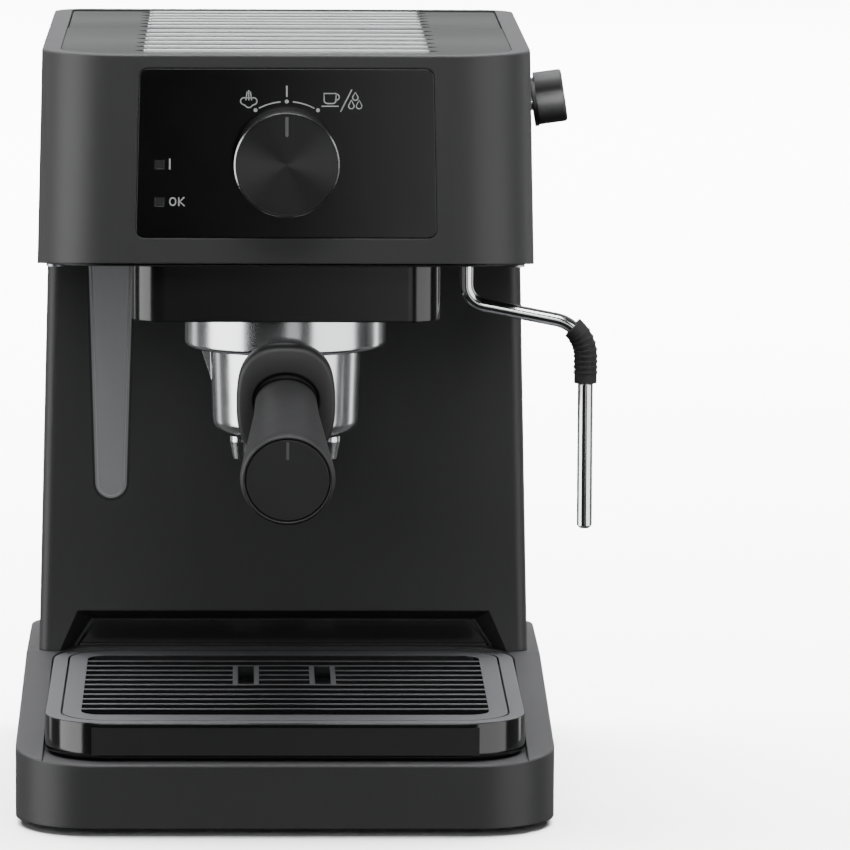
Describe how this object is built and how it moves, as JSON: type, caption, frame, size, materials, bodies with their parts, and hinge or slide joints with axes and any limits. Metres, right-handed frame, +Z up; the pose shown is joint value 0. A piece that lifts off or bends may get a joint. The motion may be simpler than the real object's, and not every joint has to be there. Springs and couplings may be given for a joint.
{
  "type": "espresso machine",
  "caption": "Compact pump espresso machine with a side steam wand, bayonet portafilter, sliding drip tray and a lift-out water tank under a hinged lid.",
  "frame": {"origin": "middle of the base's footprint, on the worktop under the rubber feet", "axes": "+X to the user's right, +Y to the back (the controls face -Y), +Z up"},
  "size_m": [0.2177, 0.336, 0.287],
  "materials": {
    "satin_black": "fine satin moulded texture",
    "gloss_black": "polished",
    "grip_black": "soft matt",
    "black_plastic": "moulded",
    "rubber": "matt",
    "steel_screws": "plain",
    "satin_steel": "satin, brushed across",
    "bright_steel": "polished",
    "chrome": "polished plating",
    "cast_aluminium": "as cast",
    "brass": "machined",
    "smoky_clear": "smoky translucent moulding",
    "tank_clear": "clear moulding",
    "tank_grey": "moulded",
    "lens": "tinted lens",
    "hose": "silicone",
    "board": "laminate"
  },
  "bodies": {
    "machine": {"base_deck": "satin_black", "base_housing": "satin_black", "base_plate": "satin_black", "boiler_body": "cast_aluminium", "boiler_cover": "cast_aluminium", "boiler_screws": "steel_screws", "boiler_seal": "rubber", "casing_screws": "steel_screws", "column_shell": "satin_black", "control_panel": "gloss_black", "cord_gland": "black_plastic", "cup_shelf": "satin_steel", "group_fascia": "gloss_black", "group_gasket": "rubber", "group_ring": "chrome", "head_floor": "satin_black", "head_shell": "satin_black", "heating_element": "bright_steel", "indicator_lenses": "lens", "level_window": "smoky_clear", "power_board": "board", "power_switch": "black_plastic", "pressure_hose": "hose", "pump": "black_plastic", "pump_bracket": "satin_steel", "pump_bushes": "rubber", "rear_cover": "satin_black", "relief_valve": "brass", "rubber_feet": "rubber", "selector_switch": "black_plastic", "shower_screen": "bright_steel", "steam_inlet_pipe": "brass", "steam_valve": "brass", "suction_hose": "hose", "tank_seal": "rubber", "tank_seat": "black_plastic", "thermostats": "satin_steel", "wand_swivel": "brass"},
    "dial": {"selector_shaft": "bright_steel", "selector_dial": "gloss_black"},
    "steam_control": {"valve_spindle": "bright_steel", "steam_knob": "gloss_black"},
    "wand": {"steam_pipe": "bright_steel", "wand_grip": "rubber", "steam_nozzle": "bright_steel"},
    "frother": {"frother_sleeve": "bright_steel"},
    "portafilter": {"portafilter_bowl": "chrome", "filter_basket": "bright_steel", "twin_spout": "chrome", "handle_grip": "grip_black", "handle_bolt": "steel_screws", "handle_cap": "gloss_black"},
    "tray": {"drip_tray": "gloss_black"},
    "grille": {"drip_grille": "gloss_black"},
    "tank": {"water_tank": "tank_clear", "tank_valve": "tank_grey", "lid_pin": "steel_screws"},
    "lid": {"tank_lid": "satin_black", "lid_plate": "satin_steel"},
    "rocker": {"power_rocker": "black_plastic"}
  },
  "joints": [
    {"name": "dial_turn", "type": "hinge", "parent": "machine", "child": "dial", "pos_m": [0, -0.098, 0.247], "axis": [0, -1, 0], "range_deg": [-30, 30]},
    {"name": "steam_knob_turn", "type": "hinge", "parent": "machine", "child": "steam_control", "pos_m": [0.09084, -0.038, 0.2635], "axis": [0.9903, 0, 0.1392], "range_deg": [0, 180]},
    {"name": "wand_swing", "type": "hinge", "parent": "machine", "child": "wand", "pos_m": [0.068, -0.038, 0.206], "axis": [0, 0, 1], "range_deg": [-80, 20]},
    {"name": "frother_pull", "type": "slide", "parent": "wand", "child": "frother", "axis": [0, 0, -1], "range_m": [0, 0.05]},
    {"name": "portafilter_turn", "type": "hinge", "parent": "machine", "child": "portafilter", "pos_m": [0, -0.038, 0.1725], "axis": [0, 0, 1], "range_deg": [-45, 0]},
    {"name": "tray_slide", "type": "slide", "parent": "machine", "child": "tray", "axis": [0, -1, 0], "range_m": [0, 0.165]},
    {"name": "grille_lift", "type": "slide", "parent": "tray", "child": "grille", "axis": [0, 0, 1], "range_m": [0, 0.012]},
    {"name": "tank_lift", "type": "slide", "parent": "machine", "child": "tank", "axis": [0, 0, 1], "range_m": [0, 0.21]},
    {"name": "lid_hinge", "type": "hinge", "parent": "tank", "child": "lid", "pos_m": [-0.013, 0.112, 0.2817], "axis": [-1, 0, 0], "range_deg": [0, 95]},
    {"name": "rocker_tip", "type": "hinge", "parent": "machine", "child": "rocker", "pos_m": [0.055, 0.118, 0.072], "axis": [1, 0, 0], "range_deg": [-8, 8]}
  ]
}
